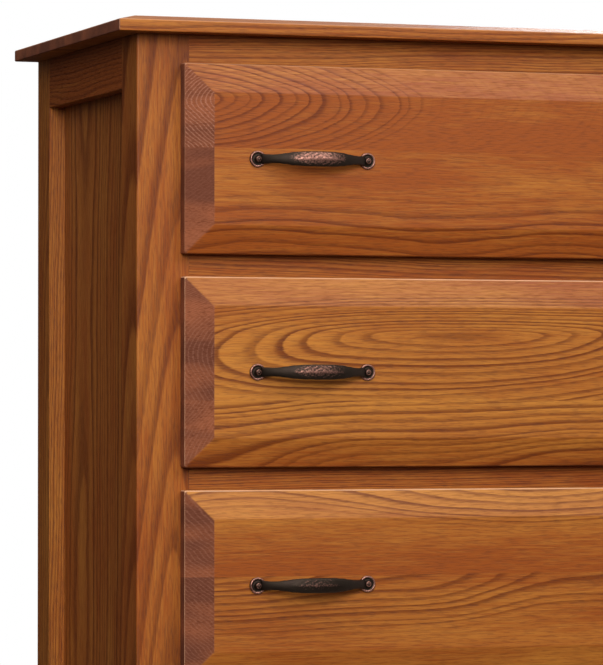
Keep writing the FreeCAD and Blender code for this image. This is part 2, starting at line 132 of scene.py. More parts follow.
# %% [markdown]
# ## Red oak, stained and lacquered
#
# Oak shows how a tree grows.  Each year starts with a band of open pores, which drinks the
# stain and turns dark, and ends with dense wood, which stays golden.  A board is a flat cut
# through those nested tubes: cut beside the pith it shows pointed arches, and where the pith
# bends towards the face it shows closed ovals.
#
# A picture wrapped round the board could give one face of this.  A solid pattern is better,
# because bevels and ends then cut through the same rings as the face.  So the rings are
# distances from a pith line, which leans and waves behind the board, and each board only
# says where its pith runs.  All lengths in the pattern are millimetres.


# %% What a board needs to say
@dataclass
class Figure:
    """Where a board lay in its log, in millimetres along, across and into the board."""
    across: float  # the pith, across the board
    depth: float  # the pith, into the board
    lean: float = 0.0  # climb of the pith across the board, per millimetre along it
    dive: float = 0.0  # how much less deep the pith gets, per millimetre along the board
    wave: float = 8.0  # how much less deep its waves bring it
    length: float = 900.0  # from one wave to the next
    start: float = 0.0  # the place of a wave's crest along the board
    slant: float = 0.0  # shift of that crest, per millimetre across
    squeeze: float = 1.0  # crowding of the rings on the far side of the pith, across
    wander: float = 10.0  # how far the pith strays by chance
    ring: float = 4.0  # width of a year's ring
    bold: float = 1000.0  # years from the pith after which the rings fade
    taper: float = 0.0  # how much slimmer the log gets, per millimetre along
    thin: float = 1.0  # 1 for the usual dark bands, more for thinner ones
    tone: float = 0.5  # 0 is golden, 1 is russet
    tone_slope: float = 0.0  # change of tone for every 100 mm from the pith, across
    edge_rub_and_highlight: float = 0.0  # how pale the sharp edges turn: stain sanded off, and a painted highlight
    end_lines: float = 0.3  # how clearly the rings show on end grain
    seed: float = 1.0  # makes the chance parts differ from another board's


print("a figure has", len(fields(Figure)), "numbers")

# %% [markdown]
# A reusable pattern is a node group, with sockets for what each board says.  Chance in wood
# is always drawn out along the grain, so one helper makes noise in long narrow blotches.


# %% Helpers for patterns
def new_pattern(name, inputs, outputs):
    """Node group with sockets of the given kinds; also gives what comes in, and its end."""
    tree = bpy.data.node_groups.new(name, "ShaderNodeTree")
    for side, sockets in (("INPUT", inputs), ("OUTPUT", outputs)):
        for label, kind in sockets.items():
            tree.interface.new_socket(label, in_out=side, socket_type="NodeSocket" + kind)
    given = tree.nodes.new("NodeGroupInput").outputs
    return tree, given, tree.nodes.new("NodeGroupOutput")


def grain_noise(tree, place, length, width, output="Fac", **look):
    """Noise in blotches of a length along the grain and a width across it, in millimetres."""
    stretched = add(tree, "VectorMath", {0: place, 1: (1 / length, 1 / width, 1 / width)},
                    operation="MULTIPLY")[0]
    return add(tree, "TexNoise", {"Vector": stretched, "Scale": 1, **look})[output]


oak, given, result = new_pattern(
    "stained oak",
    {"Board": "Vector", "Grain": "Vector", **{field.name: "Float" for field in fields(Figure)}},
    {"Colour": "Color", "Roughness": "Float", "Height": "Float"})
print("oak takes", len(given) - 1, "inputs")

# %% [markdown]
# The pith is a line through the log.  It climbs across the board, rises out of its depth, goes
# in waves, and wanders a little by chance, slowly along the trunk and faster across it.  What
# matters at a point of the board is how far it lies from that line, across and in depth.

# %% Where the pith runs
SEED_STEP = (137.0, 71.0, 29.0)
WANDER_LENGTH, WANDER_WIDTH = 210, 55
shift = add(oak, "VectorMath", {0: SEED_STEP, "Scale": given["seed"]}, operation="SCALE")[0]
seeded = add(oak, "VectorMath", {0: given["Board"], 1: shift}, operation="ADD")[0]
wander = grain_noise(oak, seeded, WANDER_LENGTH, WANDER_WIDTH, "Color", Detail=2.5,
                     Roughness=0.45)
wander = add(oak, "VectorMath", {0: wander, 1: (-0.5, -0.5, -0.5)}, operation="ADD")[0]
wander = add(oak, "SeparateXYZ", {0: wander})

board = add(oak, "SeparateXYZ", {0: given["Board"]})
along = add(oak, "Math", {0: board["X"], 1: given["start"]}, operation="SUBTRACT")[0]
climb = add(oak, "Math", {0: along, 1: given["lean"], 2: given["across"]},
            operation="MULTIPLY_ADD")[0]
across = add(oak, "Math", {0: board["Y"], 1: climb}, operation="SUBTRACT")[0]
slant = add(oak, "Math", {0: across, 1: given["slant"]}, operation="MULTIPLY")[0]
turn = add(oak, "Math", {0: along, 1: slant}, operation="SUBTRACT")[0]
turn = add(oak, "Math", {0: turn, 1: given["length"]}, operation="DIVIDE")[0]
turn = add(oak, "Math", {0: turn, 1: math.tau}, operation="MULTIPLY")[0]
bend = add(oak, "Math", {0: turn}, operation="COSINE")[0]
dive = add(oak, "Math", {0: along, 1: given["dive"]}, operation="MULTIPLY")[0]
bend = add(oak, "Math", {0: bend, 1: given["wave"], 2: dive}, operation="MULTIPLY_ADD")[0]
depth = add(oak, "Math", {0: board["Z"], 1: given["depth"]}, operation="SUBTRACT")[0]
depth = add(oak, "Math", {0: depth, 1: bend}, operation="ADD")[0]
depth = add(oak, "Math", {0: wander["Y"], 1: given["wander"], 2: depth},
            operation="MULTIPLY_ADD")[0]

# In a trunk that leant, rings crowd together on one side of the pith.
beyond = add(oak, "Math", {0: across, 1: 0.0}, operation="GREATER_THAN")[0]
squeeze = add(oak, "MapRange", {"Value": beyond, "To Min": 1.0, "To Max": given["squeeze"]})[0]
across = add(oak, "Math", {0: across, 1: squeeze}, operation="MULTIPLY")[0]
across = add(oak, "Math", {0: wander["X"], 1: given["wander"], 2: across},
             operation="MULTIPLY_ADD")[0]
radius = add(oak, "CombineXYZ", {"X": across, "Y": depth})[0]
radius = add(oak, "VectorMath", {0: radius}, operation="LENGTH")["Value"]
print("pith:", len(oak.nodes), "nodes")

# %% [markdown]
# The distance from the pith, divided by the width of a ring, counts the years.  A trunk tapers,
# so its rings are cones.  Pores open in strands, so a ring starts a little sooner in one strand
# than in the next.  Good years make wide rings and dry years narrow ones, in spells of a few
# years.  What is left after the whole years is the season, from spring to the next spring.

# %% Years and seasons
STRAND_LENGTH, STRAND_WIDTH, STRAND_SHIFT = 38, 1.7, 1.1
WEATHER_PACE, WEATHER_YEARS = 0.31, 1.6
strand = grain_noise(oak, seeded, STRAND_LENGTH, STRAND_WIDTH, Detail=1.5)
cone = add(oak, "Math", {0: along, 1: given["taper"], 2: radius}, operation="MULTIPLY_ADD")[0]
cone = add(oak, "Math", {0: strand, 1: STRAND_SHIFT, 2: cone}, operation="MULTIPLY_ADD")[0]
years = add(oak, "Math", {0: cone, 1: given["ring"]}, operation="DIVIDE")[0]
weather = add(oak, "Math", {0: years, 1: WEATHER_PACE, 2: given["seed"]},
              operation="MULTIPLY_ADD")[0]
weather = add(oak, "TexNoise", {"W": weather, "Scale": 1, "Detail": 1},
              noise_dimensions="1D")["Fac"]
years = add(oak, "Math", {0: weather, 1: WEATHER_YEARS, 2: years}, operation="MULTIPLY_ADD")[0]
season = add(oak, "Math", {0: years}, operation="FRACT")[0]
print("years:", len(oak.nodes), "nodes")

# %% [markdown]
# A ramp says how dark the stain turns from spring to the next spring: the pores start sharply
# and thin out.  Where the cut runs along a ring its band would smear out wide, so there it is
# drawn in.  Some years are bolder than others, and rings far from the pith can fade.

# %% Dark bands
YEAR_DARKNESS = ((0.0, 0.0), (0.11, 1.0), (0.32, 0.85), (0.56, 0.22), (1.0, 0.0))
FADING_YEARS, FADED = 3.0, 0.15
steep = add(oak, "Math", {0: across, 1: radius}, operation="DIVIDE")[0]
steep = add(oak, "Math", {0: steep}, operation="ABSOLUTE")[0]
narrow = add(oak, "MapRange", {"Value": steep, "To Min": 1.5, "To Max": 1.0})[0]
narrow = add(oak, "Math", {0: narrow, 1: given["thin"]}, operation="MULTIPLY")[0]
season = add(oak, "Math", {0: season, 1: narrow}, operation="MULTIPLY", use_clamp=True)[0]
early = add(oak, "ValToRGB", {0: season}, stops=YEAR_DARKNESS)[0]
year = add(oak, "Math", {0: years}, operation="FLOOR")[0]
year = add(oak, "Math", {0: year, 1: given["seed"]}, operation="ADD")[0]
boldness = add(oak, "TexWhiteNoise", {"W": year}, noise_dimensions="1D")["Value"]
boldness = add(oak, "MapRange", {"Value": boldness, "To Min": 0.55, "To Max": 1.0})[0]
early = add(oak, "Math", {0: early, 1: boldness}, operation="MULTIPLY")[0]
fading = add(oak, "Math", {0: years, 1: given["bold"]}, operation="SUBTRACT")[0]
fading = add(oak, "MapRange", {"Value": fading, "From Max": FADING_YEARS, "To Min": 1.0,
                               "To Max": FADED})[0]
early = add(oak, "Math", {0: early, 1: fading}, operation="MULTIPLY")[0]
print("dark bands:", len(oak.nodes), "nodes")

# %% [markdown]
# Cut across, every ring shows, and so do the false rings between them: many fine lines.  A
# bevel cuts them at a slant, which draws them out into diagonals, so these lines count the
# depth in the board as well as the distance from the pith.

# %% Rings on the end grain
END_SPACING = 2.2
DEPTH_DRAWN_OUT, WEATHER_SHIFT, STRAND_DRIFT = 3.5, 8.0, 2.0
ends = add(oak, "Math", {0: board["Z"], 1: DEPTH_DRAWN_OUT, 2: radius}, operation="MULTIPLY_ADD")[0]
ends = add(oak, "Math", {0: weather, 1: WEATHER_SHIFT, 2: ends}, operation="MULTIPLY_ADD")[0]
ends = add(oak, "Math", {0: strand, 1: STRAND_DRIFT, 2: ends}, operation="MULTIPLY_ADD")[0]
ends = add(oak, "Math", {0: ends, 1: END_SPACING}, operation="DIVIDE")[0]
ends = add(oak, "Math", {0: ends, 1: 1.0}, operation="PINGPONG")[0]
ends = add(oak, "MapRange", {"Value": ends, "From Min": 0.5, "From Max": 0.95},
           interpolation_type="SMOOTHSTEP")[0]
print("end rings:", len(oak.nodes), "nodes")

# %% [markdown]
# ## Pores, stain and lacquer
#
# On top of the rings come the pores, short dark dashes along the grain that look like dots
# on an end, and slow patches of golden and reddish wood.

# %% Pores and patches
# Real pores are 0.3 mm wide and would vanish at this distance: they are drawn 1.1 mm wide.
PORE_LENGTH, PORE_WIDTH = 14, 1.1
FIBRE_LENGTH, FIBRE_WIDTH = 45, 2.0
PATCH_LENGTH, PATCH_WIDTH = 230, 42
fibre = grain_noise(oak, seeded, FIBRE_LENGTH, FIBRE_WIDTH, Detail=3)
patch = grain_noise(oak, seeded, PATCH_LENGTH, PATCH_WIDTH, Detail=2)
pore = grain_noise(oak, seeded, PORE_LENGTH, PORE_WIDTH, Detail=1.5)
pore = add(oak, "MapRange", {"Value": pore, "From Min": 0.50, "From Max": 0.62})[0]
porous = add(oak, "MapRange", {"Value": early, "To Min": 0.55, "To Max": 1.0})[0]
pore = add(oak, "Math", {0: pore, 1: porous}, operation="MULTIPLY")[0]
print("pores:", len(oak.nodes), "nodes")

# %% [markdown]
# End grain soaks up far more stain than a face does, and along sharp edges sanding takes some
# of it off again.  That pale edge is also a painted highlight, so it is kept to edges that look
# up, towards the light.  Both follow from the way the surface looks: along the grain it is an
# end, and along no axis at all it is a rounded edge.


# %% Ends and edges
def end_share(tree, normal, grain):
    """How squarely a surface cuts through the grain, from 0 on a face to 1 on an end."""
    share = add(tree, "VectorMath", {0: normal, 1: grain}, operation="DOT_PRODUCT")
    return add(tree, "Math", {0: share["Value"]}, operation="ABSOLUTE")[0]


def squareness(tree, normal):
    """1 where a surface looks straight along an axis, and less where it turns a corner."""
    size = add(tree, "VectorMath", {0: normal}, operation="ABSOLUTE")[0]
    size = add(tree, "SeparateXYZ", {0: size})
    largest = add(tree, "Math", {0: size["X"], 1: size["Y"]}, operation="MAXIMUM")[0]
    return add(tree, "Math", {0: largest, 1: size["Z"]}, operation="MAXIMUM")[0]


normal = add(oak, "NewGeometry")["Normal"]
end = add(oak, "MapRange", {"Value": end_share(oak, normal, given["Grain"]),
                            "From Min": 0.10, "From Max": 0.22},
          interpolation_type="SMOOTHSTEP")[0]
arris = add(oak, "MapRange", {"Value": squareness(oak, normal), "From Min": 0.95,
                              "From Max": 0.86})[0]
# Painted highlight as well as wear: the pale edge follows the fibres and is kept to edges that look
# up, towards the light.
wear_and_highlight = add(oak, "Math", {0: fibre, 1: 1.7}, operation="MULTIPLY", use_clamp=True)[0]
upward = add(oak, "SeparateXYZ", {0: normal})["Z"]
upward = add(oak, "MapRange", {"Value": upward, "From Min": -0.4, "From Max": 0.1})[0]
wear_and_highlight = add(oak, "Math", {0: wear_and_highlight, 1: upward}, operation="MULTIPLY")[0]
arris = add(oak, "Math", {0: arris, 1: wear_and_highlight}, operation="MULTIPLY")[0]
arris = add(oak, "Math", {0: arris, 1: given["edge_rub_and_highlight"]}, operation="MULTIPLY")[0]
print("ends and edges:", len(oak.nodes), "nodes")

# %% [markdown]
# The tone runs from golden to russet.  Each board has its own, and it changes from place to
# place with patches, with fibres, and from the heart of the tree to its outside.

# %% Tone of the stain
GOLDEN, RUSSET = "#BC782F", "#944A18"
PATCH_SHARE, FIBRE_SHARE = 1.3, 1.2
tone = add(oak, "Math", {0: patch, 1: PATCH_SHARE, 2: -PATCH_SHARE / 2},
           operation="MULTIPLY_ADD")[0]
tone = add(oak, "Math", {0: fibre, 1: FIBRE_SHARE, 2: tone}, operation="MULTIPLY_ADD")[0]
tone = add(oak, "Math", {0: tone, 1: given["tone"]}, operation="ADD")[0]
from_pith = add(oak, "Math", {0: board["Y"], 1: given["across"]}, operation="SUBTRACT")[0]
from_pith = add(oak, "Math", {0: from_pith, 1: 100.0}, operation="DIVIDE")[0]
tone = add(oak, "Math", {0: from_pith, 1: given["tone_slope"], 2: tone},
           operation="MULTIPLY_ADD")[0]
tone = add(oak, "Math", {0: tone, 1: -FIBRE_SHARE / 2}, operation="ADD", use_clamp=True)[0]
colour = add(oak, "Mix", {FACTOR: tone, COLOUR_A: linear(GOLDEN), COLOUR_B: linear(RUSSET)},
             data_type="RGBA")[MIXED]
print("tone:", len(oak.nodes), "nodes")

# %% [markdown]
# The other colours are laid over the tone in turn: the dark bands, the ends with their fine
# light lines, the open pores, and last the pale edge, partly rubbed wood and partly a painted
# highlight.

# %% Colours over the tone
EARLY_WOOD, PORE = "#662A08", "#4E1E08"
# The last colour is the pale edge: partly stain rubbed off, partly a painted highlight.
END_GRAIN, END_WARM, END_RING, PALE_EDGE_AND_HIGHLIGHT = "#65341F", "#8A4B2C", "#B07A62", "#D2A07C"
end_patch = add(oak, "MapRange", {"Value": patch, "From Min": 0.4, "From Max": 0.62})[0]
end_colour = add(oak, "Mix", {FACTOR: end_patch, COLOUR_A: linear(END_GRAIN),
                              COLOUR_B: linear(END_WARM)}, data_type="RGBA")[MIXED]
end_line = add(oak, "Math", {0: ends, 1: fibre}, operation="MULTIPLY")[0]
end_line = add(oak, "Math", {0: end_line, 1: given["end_lines"]}, operation="MULTIPLY",
               use_clamp=True)[0]
end_colour = add(oak, "Mix", {FACTOR: end_line, COLOUR_A: end_colour,
                              COLOUR_B: linear(END_RING)}, data_type="RGBA")[MIXED]
dark = add(oak, "Math", {0: early, 1: 0.9}, operation="MULTIPLY")[0]
open_pore = add(oak, "Math", {0: pore, 1: 0.5}, operation="MULTIPLY")[0]
for share, layer in ((dark, linear(EARLY_WOOD)), (end, end_colour),
                     (open_pore, linear(PORE)), (arris, linear(PALE_EDGE_AND_HIGHLIGHT))):
    colour = add(oak, "Mix", {FACTOR: share, COLOUR_A: colour, COLOUR_B: layer},
                 data_type="RGBA")[MIXED]
print("colours:", len(oak.nodes), "nodes")

# %% [markdown]
# Satin lacquer gives a soft sheen.  It sinks into the pores and the thirsty ends, which stay
# rougher, and it can't quite fill the pores, so they also lie a little lower.

# %% Lacquer
rough = add(oak, "Math", {0: pore, 1: 0.15, 2: 0.40}, operation="MULTIPLY_ADD")[0]
rough = add(oak, "Math", {0: end, 1: 0.35, 2: rough}, operation="MULTIPLY_ADD")[0]
sunk = add(oak, "Math", {0: early, 1: 0.4, 2: pore}, operation="MULTIPLY_ADD")[0]
height = add(oak, "Math", {0: sunk, 1: -1.0}, operation="MULTIPLY")[0]
feed(oak, result, {"Colour": colour, "Roughness": rough, "Height": height})
print("oak surface:", len(oak.nodes), "nodes")

# %% [markdown]
# ## Cutting the boards
#
# A board says which way its grain runs, which way it is wide, and where its pith lies.  Wide
# boards are glued from up to four narrower ones, so their material holds one figure for each,
# and changes from one to the next at the glue line.

# %% Oak for one board or several
AXES = {"X": (1, 0, 0), "Y": (0, 1, 0), "Z": (0, 0, 1)}


def new_material(name):
    material = bpy.data.materials.new(name)
    material.use_nodes = True
    return material, material.node_tree, material.node_tree.nodes["Principled BSDF"]


def board_place(tree, order):
    """Place on the chest as millimetres along, across and into a board."""
    place = add(tree, "TexCoord")["Object"]
    place = add(tree, "SeparateXYZ", {0: place})
    place = add(tree, "CombineXYZ", {n: place[axis] for n, axis in enumerate(order)})[0]
    return add(tree, "VectorMath", {0: place, "Scale": 1 / MM}, operation="SCALE")[0]


def cut_board(tree, place, order, figure):
    """The oak pattern, set to one board."""
    return add(tree, "Group", {"Board": place, "Grain": AXES[order[0]], **asdict(figure)},
               node_tree=oak)


def oak_material(name, order, figures, glue_lines=()):
    """Stained oak for one board, or for several glued side by side at the glue lines."""
    material, tree, shader = new_material(name)
    place = board_place(tree, order)
    across = add(tree, "SeparateXYZ", {0: place})["Y"]
    colour, rough, height = cut_board(tree, place, order, figures[0])
    for figure, line in zip(figures[1:], glue_lines):
        next_colour, next_rough, next_height = cut_board(tree, place, order, figure)
        beyond = add(tree, "Math", {0: across, 1: line}, operation="GREATER_THAN")[0]
        colour = add(tree, "Mix", {FACTOR: beyond, COLOUR_A: colour, COLOUR_B: next_colour},
                     data_type="RGBA")[MIXED]
        rough = add(tree, "Mix", {FACTOR: beyond, VALUE_A: rough, VALUE_B: next_rough})[0]
        height = add(tree, "Mix", {FACTOR: beyond, VALUE_A: height, VALUE_B: next_height})[0]
    bump = add(tree, "Bump", {"Height": height, "Strength": 0.6, "Distance": 0.12 * MM})
    feed(tree, shader, {"Base Color": colour, "Roughness": rough, "Normal": bump[0],
                        "IOR": 1.5, "Specular IOR Level": 0.24})
    return material


# %% [markdown]
# ## Softening the edges
#
# No edge on real furniture is a knife.  Each board is sanded to a small round, which catches
# the light as a thin line and is what makes the eye believe in the thickness.  The solid
# pieces arrive with their faces unjoined, so a Weld modifier joins them and a Bevel modifier
# then rounds the edges, with the shapes underneath left alone.


# %% Helper for edges
def finish_board(node, material, radius=0.5 * MM):
    """Give a board of the chest its material, and round its edges."""
    board = nodes[node]
    board.data.materials.clear()
    board.data.materials.append(material)
    weld = board.modifiers.new("weld", "WELD")
    weld.merge_threshold = 0.01 * MM
    bevel = board.modifiers.new("arris", "BEVEL")
    bevel.width = radius
    bevel.segments = 2
    bevel.limit_method = "ANGLE"
    bevel.angle_limit = math.radians(9)
    flat = board.modifiers.new("flat_faces", "WEIGHTED_NORMAL")
    flat.weight = 100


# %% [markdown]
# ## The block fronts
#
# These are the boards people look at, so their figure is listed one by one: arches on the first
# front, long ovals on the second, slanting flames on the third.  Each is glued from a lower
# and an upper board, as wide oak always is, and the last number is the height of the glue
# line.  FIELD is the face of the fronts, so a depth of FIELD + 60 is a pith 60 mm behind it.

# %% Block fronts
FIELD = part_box("drawer_1_front")[0].y / MM
FRONT_FIGURES = {
    1: (Figure(across=960, depth=FIELD + 60, wave=14, length=330, start=-290, wander=22,
               ring=13, bold=12, thin=1.5, tone=0.85, end_lines=0.1, seed=3.1),
        Figure(across=1228, depth=FIELD - 15, lean=0.05, dive=0.22, wave=1, start=-339,
               wander=14, ring=5.4, bold=14, taper=0.1, thin=1.2, tone=0.9, tone_slope=-0.7,
               end_lines=0.9, seed=8.4), 1176),
    2: (Figure(across=785, depth=FIELD - 66, dive=-0.10, wave=5, length=300, start=-375,
               wander=9, ring=7, tone=1.55, tone_slope=-1.5, seed=11.6),
        Figure(across=972, depth=FIELD + 49, wave=46, length=1000, start=-90, slant=1.6,
               squeeze=2.3, wander=9, ring=8.4, bold=11, tone=0.42, tone_slope=0.3,
               seed=5.2), 899),
    3: (Figure(across=722, depth=FIELD + 16, dive=-0.10, wave=4, length=260, start=-375,
               wander=10, ring=6.5, bold=12, tone=0.65, seed=7.7),
        Figure(across=808, depth=FIELD + 46, wave=12, length=680, start=15, wander=7,
               ring=5.4, bold=10, tone=-0.1, tone_slope=-1.3, seed=2.6), 706),
    4: (Figure(across=480, depth=FIELD + 42, lean=-0.04, wave=40, length=900, start=120,
               slant=-1.5, squeeze=1.5, wander=12, ring=8, tone=0.45, seed=12.3),
        Figure(across=720, depth=FIELD + 60, wave=10, length=700, ring=8, wander=12,
               tone=0.55, seed=14.9), 552),
    5: (Figure(across=212, depth=FIELD + 40, lean=0.03, wave=36, length=950, start=-60,
               slant=1.0, squeeze=1.4, wander=12, ring=8.8, tone=0.55, seed=17.2),
        Figure(across=420, depth=FIELD + 55, lean=0.02, wave=8, length=600, start=200,
               wander=12, ring=7, tone=0.45, seed=19.8), 262),
}
# The pale arris, partly rubbed stain and partly a painted highlight, is faint on the first front,
# which lies in the shade of the top, and fuller on the others.
TOP_FRONT_RUB_AND_HIGHLIGHT, OTHER_FRONTS_RUB_AND_HIGHLIGHT = 0.35, 1.0
for number, (lower, upper, glue_line) in FRONT_FIGURES.items():
    edge_rub_and_highlight = TOP_FRONT_RUB_AND_HIGHLIGHT if number == 1 else OTHER_FRONTS_RUB_AND_HIGHLIGHT
    boards = [replace(figure, edge_rub_and_highlight=edge_rub_and_highlight) for figure in (lower, upper)]
    material = oak_material(f"oak_front_{number}", "XZY", boards, [glue_line])
    finish_board(f"drawer_{number}_front", material, 2.0 * MM)
print("block fronts:", len(FRONT_FIGURES))

# %% [markdown]
# ## The case
#
# Posts and rails are straight-grained on a good chest, so most boards only need a pith well
# off to one side, drawn at random from a fixed seed.  The side panels have wide rings, and the
# front rails narrow, straight ones.  The front left post is given its own figure: its log is slim,
# and the cones of its rings give long pointed arches.

# %% Figures of the case boards
chance = random.Random(7)
FRONT_LEFT_POST = Figure(across=-402, depth=-177, lean=0.024, wave=-16, length=3000, start=1240,
                         wander=3, ring=18, taper=0.11, tone=0.75, seed=4.4)


def plain_figure(node, order, tone):
    """A quiet board: its pith lies well off to one side, in front of it or behind it."""
    low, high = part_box(node)
    middle = [(low[k] + high[k]) / 2 / MM for k in range(3)]
    along, wide, deep = ("XYZ".index(axis) for axis in order)
    return Figure(across=middle[wide] + chance.choice((-1, 1)) * chance.uniform(35, 90),
                  depth=middle[deep] + chance.choice((-1, 1)) * chance.uniform(30, 80),
                  lean=chance.uniform(-0.03, 0.03), wave=chance.uniform(3, 9),
                  length=chance.uniform(600, 1100), start=middle[along],
                  ring=chance.uniform(3.0, 4.6), tone=tone + chance.uniform(-0.1, 0.1),
                  seed=chance.uniform(20, 90))


def case_figure(node, order):
    """Figure of a case board; redder on the sides and the rails than on the posts."""
    figure = plain_figure(node, order, 1.1 if "side" in node else 0.8 if "rail" in node else 0.6)
    if "side_panel" in node:
        return replace(figure, ring=9.0, wander=16.0, tone=0.7)
    if node.startswith("front_"):
        return replace(figure, ring=2.4, wave=2.0, wander=5.0)
    return FRONT_LEFT_POST if node == "post_front_left" else figure


# %% Case boards
# The axes of the chest that run along, across and into each kind of board.
CASE_GRAIN = {
    "post_front": "ZXY", "post_back": "ZXY", "side_top_rail": "YZX", "side_bottom_rail": "YZX",
    "side_panel": "ZYX", "front_": "XZY", "back_": "XZY",
}
for node in frame["record"]["behaviour"]["bodies"]["case"]:
    for start, order in CASE_GRAIN.items():
        if node.startswith(start):
            figure = case_figure(node, order)
            # The back panel isn't oak: it is finished with the drawer boards.
            if node != "back_panel":
                finish_board(node, oak_material("oak_" + node, order, [figure]))

# %% Top board
# Four boards of about 108 mm, each with its pith under its middle.
HALF_BOARD = 54
top_low, top_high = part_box("top_board")
glue_lines = [(top_low.y + (top_high.y - top_low.y) * k / 4) / MM for k in (1, 2, 3)]
top_figures = [replace(plain_figure("top_board", "XYZ", 0.5), across=line - HALF_BOARD, edge_rub_and_highlight=0.5)
               for line in (*glue_lines, glue_lines[-1] + 2 * HALF_BOARD)]
finish_board("top_board", oak_material("oak_top", "XYZ", top_figures, glue_lines), 1.2 * MM)
print("case boards done, top glued at", [round(line) for line in glue_lines])

# %% [markdown]
# ## Drawer boxes
#
# Behind the show wood the boxes are hard maple under clear lacquer: pale, even, with a fine
# silky grain.  Their corners are dovetailed, and each joint shows because a pin's end grain
# drinks more lacquer than the side it is let into, and because dust settles along the joint.
# The back panel, the bottoms and the runners are made of the same pale wood.

# %% Maple
MAPLE, MAPLE_DARK = "#E4C091", "#D0A269"
MAPLE_END, JOINT = "#A87B48", "#7A5230"
BAND_LENGTH, BAND_WIDTH = 420, 30
# Maple's own pores are too fine to see from here: the streaks are drawn 0.9 mm wide.
STREAK_LENGTH, STREAK_WIDTH = 18, 0.9


def maple_material(name, order):
    material, tree, shader = new_material(name)
    place = board_place(tree, order)
    slow = grain_noise(tree, place, BAND_LENGTH, BAND_WIDTH, Detail=2, Distortion=0.6)
    bands = add(tree, "Math", {0: slow, 1: 9.0}, operation="MULTIPLY")[0]
    bands = add(tree, "Math", {0: bands, 1: 1.0}, operation="PINGPONG")[0]
    fine = grain_noise(tree, place, STREAK_LENGTH, STREAK_WIDTH, Detail=2)
    tone = add(tree, "Math", {0: bands, 1: 0.25, 2: fine}, operation="MULTIPLY_ADD")[0]
    tone = add(tree, "MapRange", {"Value": tone, "From Min": 0.35, "From Max": 0.95})[0]
    normal = add(tree, "NewGeometry")["Normal"]
    end = add(tree, "MapRange", {"Value": end_share(tree, normal, AXES[order[0]]),
                                 "From Min": 0.5, "From Max": 0.9, "To Max": 0.85})[0]
    joint = add(tree, "MapRange", {"Value": squareness(tree, normal), "From Min": 0.97,
                                   "From Max": 0.88, "To Max": 0.6})[0]
    colour = linear(MAPLE)
    for share, layer in ((tone, MAPLE_DARK), (end, MAPLE_END), (joint, JOINT)):
        colour = add(tree, "Mix", {FACTOR: share, COLOUR_A: colour, COLOUR_B: linear(layer)},
                     data_type="RGBA")[MIXED]
    bump = add(tree, "Bump", {"Height": fine, "Strength": 0.3, "Distance": 0.05 * MM})
    feed(tree, shader, {"Base Color": colour, "Normal": bump[0], "Roughness": 0.42,
                        "Specular IOR Level": 0.3})
    return material


# %% Maple boards
maple_across = maple_material("maple_across", "XZY")
maple_along = maple_material("maple_along", "YZX")
maple_flat = maple_material("maple_plywood", "XYZ")
for number in FRONT_FIGURES:
    drawer = f"drawer_{number}_"
    for piece in ("box_front", "back"):
        finish_board(drawer + piece, maple_across, 0.4 * MM)
    for piece in ("side_left", "side_right"):
        finish_board(drawer + piece, maple_along, 0.4 * MM)
    finish_board(drawer + "bottom", maple_flat, 0.4 * MM)
for side in ("left", "right"):
    finish_board(f"runners_{side}", maple_along)
    finish_board(f"kicker_{side}", maple_along)
finish_board("back_panel", maple_material("maple_back", "ZXY"), 0.4 * MM)
print("maple boards done")

# %% [markdown]
# ## Bow pulls
#
# Each pull is a sand casting in bronze, darkened with age: two round feet with a raised rim
# and a small boss, and a bow that leaves them as a narrow neck and swells to a leaf with
# veins.  A foot is turned, so its mesh is a profile swept round a circle.  The bow is a row
# of rings along an arc, each squashed to the width that the outline has there, and the veins
# are added to the rings' outer side as real relief.

# %% Sizes of a pull
SCREW_SPACING = 128
FOOT_RADIUS = 10
CROWN = 26.4
# Distance from the middle of a foot, height above the drawer front, and how proud it stands.
FOOT_PROFILE = ((9.2, 0.0, 0.2), (9.2, 1.4, 0.2), (8.9, 2.3, 0.9), (8.2, 2.8, 0.9),
                (7.4, 2.7, 0.9), (6.7, 2.0, 0.2), (6.0, 1.8, 0.2), (4.9, 1.9, 0.2),
                (4.2, 2.4, 0.2), (3.8, 3.6, 0.2), (3.4, 4.8, 0.2), (2.6, 5.7, 0.9),
                (1.4, 6.2, 0.2))
FOOT_TIP = 6.4
# Distance from the middle of the bow, half its height seen from the front, half its thickness.
BOW_OUTLINE = ((0, 8.4, 2.3), (16, 8.2, 2.3), (28, 7.4, 2.3), (37, 6.1, 2.2), (45, 5.0, 2.1),
               (50, 4.8, 2.1), (56, 5.2, 2.0), (60, 5.5, 1.6))
# The middle line of the bow lies this far above the front at its ends, and this far inside
# its crown.
LINE_INSET = 2.6


def between(rows, place):
    """Smooth values at a place, from rows that start with their own places."""
    for low, high in zip(rows, rows[1:]):
        if place <= high[0]:
            share = (place - low[0]) / (high[0] - low[0])
            share = share * share * (3 - 2 * share)
            return [a + (b - a) * share for a, b in zip(low[1:], high[1:])]
    return list(rows[-1][1:])


print("bow at a quarter of its length:", between(BOW_OUTLINE, SCREW_SPACING / 4))

# %% [markdown]
# The pulls, screws and felt dots are all rows of closed rings with a skin drawn over them, so
# two helpers serve them all: one draws the skin, and the other turns the shape, drawn in
# millimetres, into a finished mesh in metres with its faces looking out.


# %% Helpers for meshes
def skin(shape, rings):
    """Faces between each closed ring of vertices and the next."""
    for low, high in zip(rings, rings[1:]):
        for k in range(len(low)):
            shape.faces.new((low[k - 1], low[k], high[k], high[k - 1]))


def finished_mesh(name, shape, material):
    bmesh.ops.recalc_face_normals(shape, faces=shape.faces)
    bmesh.ops.scale(shape, vec=(MM, MM, MM), verts=shape.verts)
    for face in shape.faces:
        face.smooth = True
    mesh = bpy.data.meshes.new(name)
    shape.to_mesh(mesh)
    shape.free()
    mesh.materials.append(material)
    return mesh


# %% [markdown]
# Each vertex of a pull also carries a number from 0 in the hollows to 1 on the places that
# stand proud, where hands and cloths rub the dark skin away; on the bow it also rises towards
# the upper side, which is a painted highlight.


